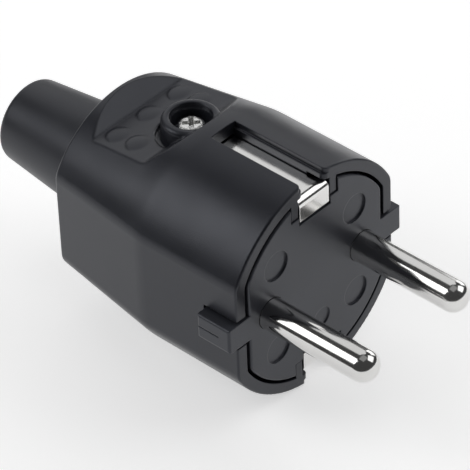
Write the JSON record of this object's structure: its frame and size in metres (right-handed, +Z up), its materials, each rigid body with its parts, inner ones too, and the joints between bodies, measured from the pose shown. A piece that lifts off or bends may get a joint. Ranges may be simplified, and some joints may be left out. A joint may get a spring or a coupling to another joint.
{
  "type": "earthed mains plug",
  "caption": "Straight rewireable earthed mains plug: round contact pins, earth strips in slots of a tapered black hood, side guide keys, a recessed hood screw and a smooth cable bush.",
  "frame": {"origin": "centre of the engagement face, midway between the contact pins", "axes": "-Y along the pins towards the socket, +Y along the cable, +Z up through the upper earth slot, +X to the right seen from the socket side"},
  "size_m": [0.036, 0.0754, 0.0362],
  "materials": {
    "hood_plastic": "satin moulded, finely spark-eroded",
    "bush_rubber": "smooth satin",
    "carrier_plastic": "satin moulded",
    "nickel_plate": "bright nickel plated",
    "zinc_steel": "bright zinc plated"
  },
  "bodies": {
    "root": {"hood": "hood_plastic", "cable_bush": "bush_rubber", "contact_carrier": "carrier_plastic", "cord_clamp_bar": "carrier_plastic", "left_pin": "nickel_plate", "right_pin": "nickel_plate", "earth_strap": "nickel_plate", "earth_clamp_plate": "zinc_steel", "earth_screw": "zinc_steel", "hood_screw": "zinc_steel", "hood_nut": "zinc_steel", "left_terminal_screw": "zinc_steel", "right_terminal_screw": "zinc_steel", "left_clamp_screw": "zinc_steel", "right_clamp_screw": "zinc_steel"}
  },
  "joints": []
}
